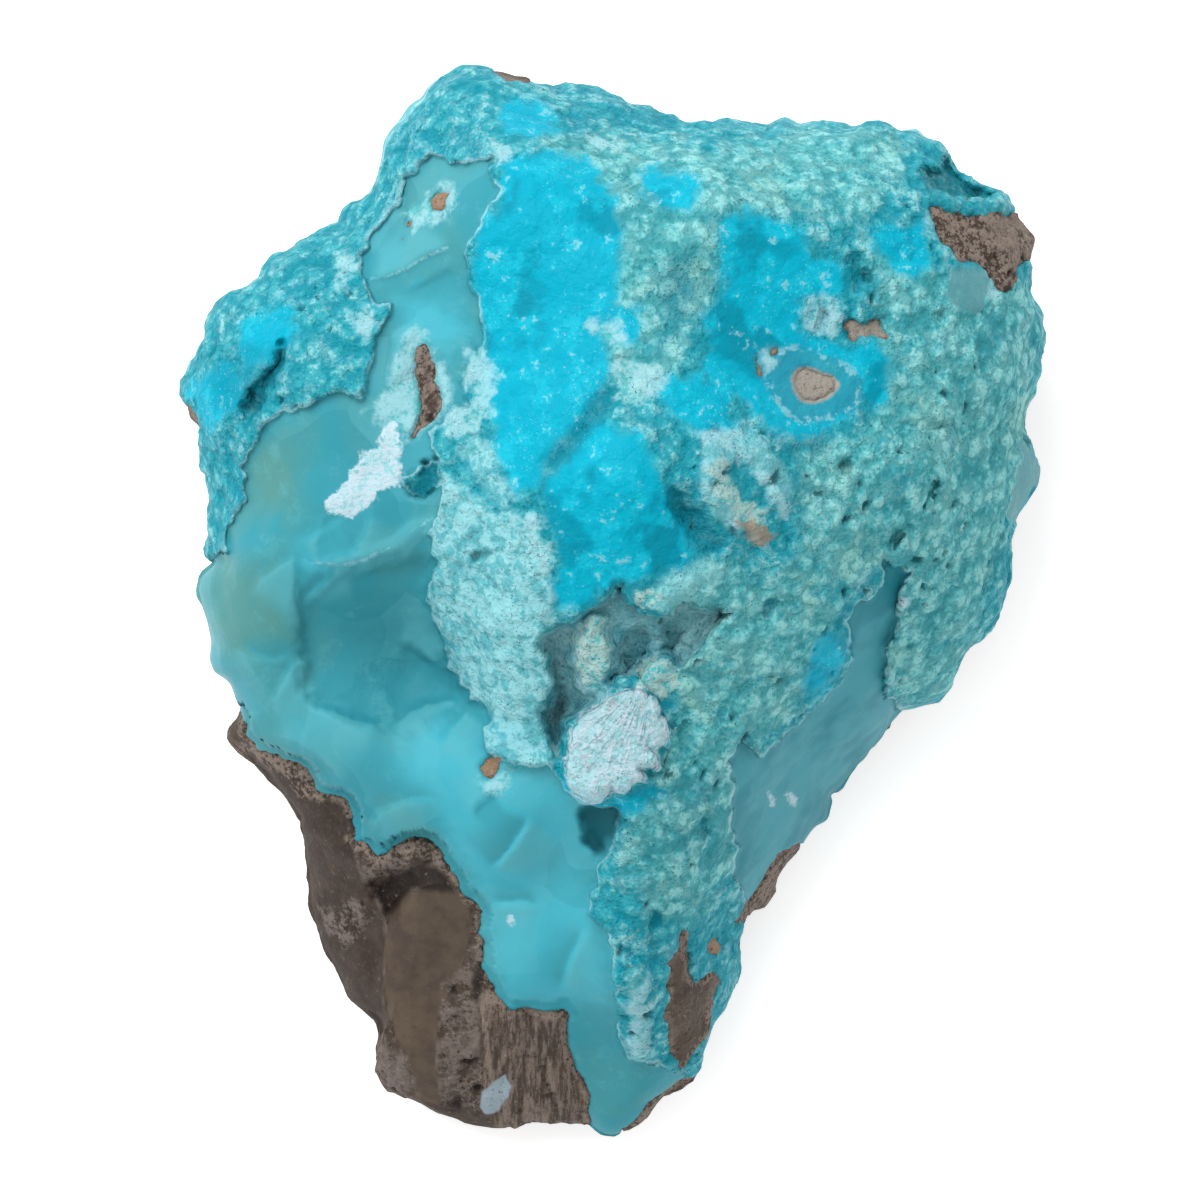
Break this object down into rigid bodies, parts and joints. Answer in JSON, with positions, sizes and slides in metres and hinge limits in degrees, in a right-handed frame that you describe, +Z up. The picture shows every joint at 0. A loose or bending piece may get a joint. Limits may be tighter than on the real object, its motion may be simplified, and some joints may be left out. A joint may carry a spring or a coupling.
{
  "type": "raw smithsonite specimen",
  "caption": "Hand specimen of raw smithsonite: a lumpy blue-green crust grown over broken brown host rock, lying on a flat break.",
  "frame": {"origin": "middle of the bounding box on the flat break that the stone rests on", "axes": "+Z up out of the crust's front, +Y towards the broad end, +X to the right seen from above with the broad end away"},
  "size_m": [0.1035, 0.1282, 0.0606],
  "materials": {
    "host_rock": "rough broken brown limestone, matt, with grey-brown grain and pits",
    "smithsonite": "waxy blue-green mineral, fine botryoidal grain on the skin and smooth where it broke"
  },
  "bodies": {
    "root": {"host_rock": "host_rock", "smithsonite": "smithsonite"}
  },
  "joints": []
}
